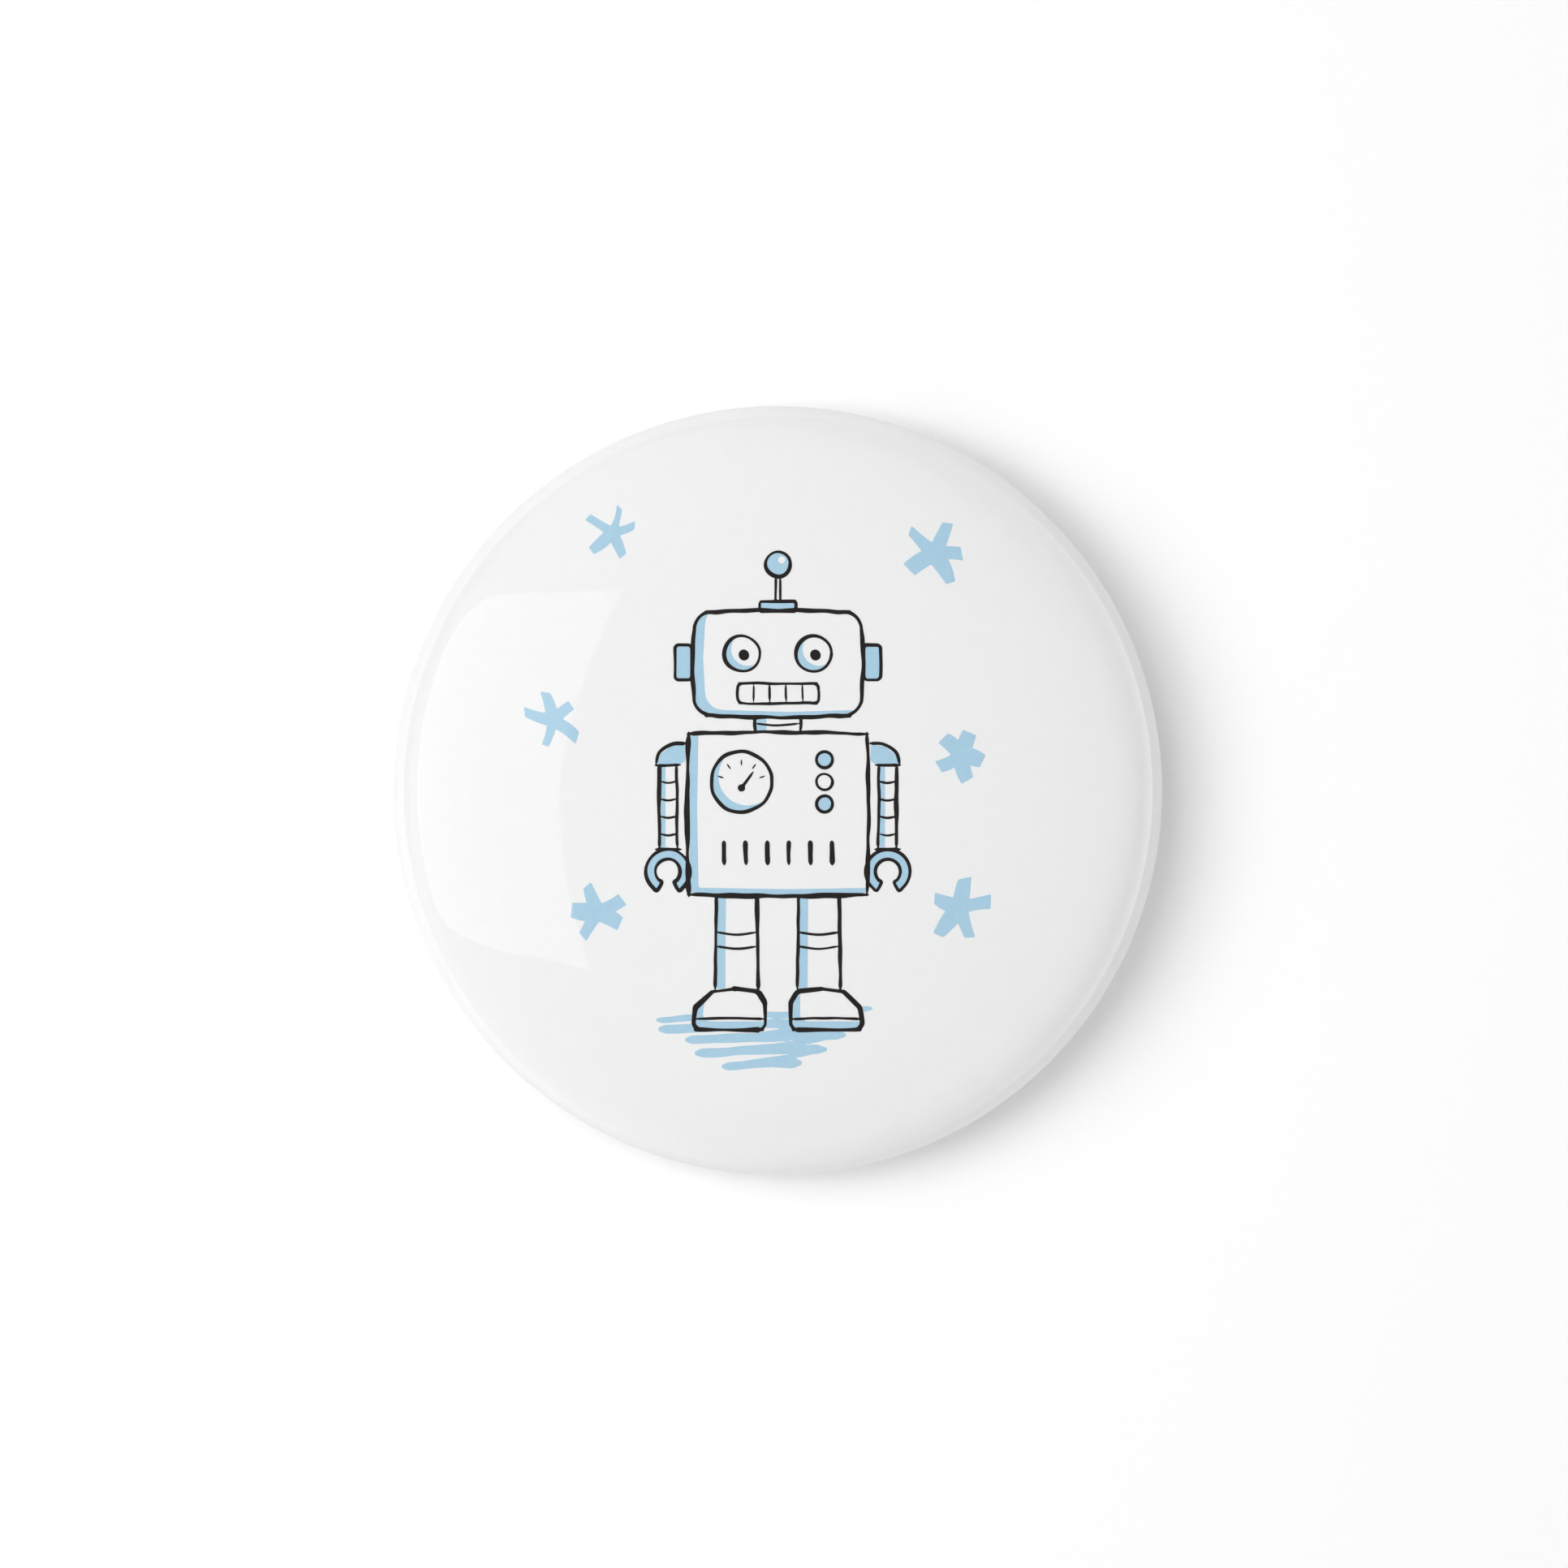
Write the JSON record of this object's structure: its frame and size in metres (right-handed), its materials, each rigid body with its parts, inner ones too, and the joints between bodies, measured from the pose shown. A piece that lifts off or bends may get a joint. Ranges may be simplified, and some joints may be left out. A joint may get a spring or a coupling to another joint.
{
  "type": "button badge",
  "caption": "Round domed button badge: printed paper under clear film, wrapped over a steel shell, on a moulded back with a hinged needle and a rotating locking catch.",
  "frame": {"origin": "centre of the badge, on the plane that the back's land rests on", "axes": "+Z out of the face, +Y towards the top of the artwork, +X along the pin bar from the hinge to the catch"},
  "size_m": [0.058, 0.058, 0.008],
  "materials": {
    "clear_film": "clear glossy polyester",
    "printed_paper": "coated white paper, printed",
    "tinplate": "tin plated, bright",
    "back_plastic": "white injection moulded, satin",
    "nickel_sheet": "nickel plated",
    "needle_steel": "polished, nickel plated",
    "rivet_steel": "nickel plated",
    "nickel_catch": "nickel plated"
  },
  "bodies": {
    "root": {"clear_film": "clear_film", "printed_paper": "printed_paper", "front_shell": "tinplate", "back_plate": "back_plastic", "pin_bar": "nickel_sheet", "hinge_rivet": "rivet_steel"},
    "needle": {"pin_needle": "needle_steel"},
    "catch": {"catch_barrel": "nickel_catch"}
  },
  "joints": [
    {"name": "needle_swing", "type": "hinge", "parent": "root", "child": "needle", "pos_m": [-0.0132, 0, 0.0023], "axis": [0, 1, 0], "range_deg": [0, 100]},
    {"name": "catch_turn", "type": "hinge", "parent": "root", "child": "catch", "pos_m": [0.0122, 0, 0.0023], "axis": [1, 0, 0], "range_deg": [0, 120]}
  ]
}
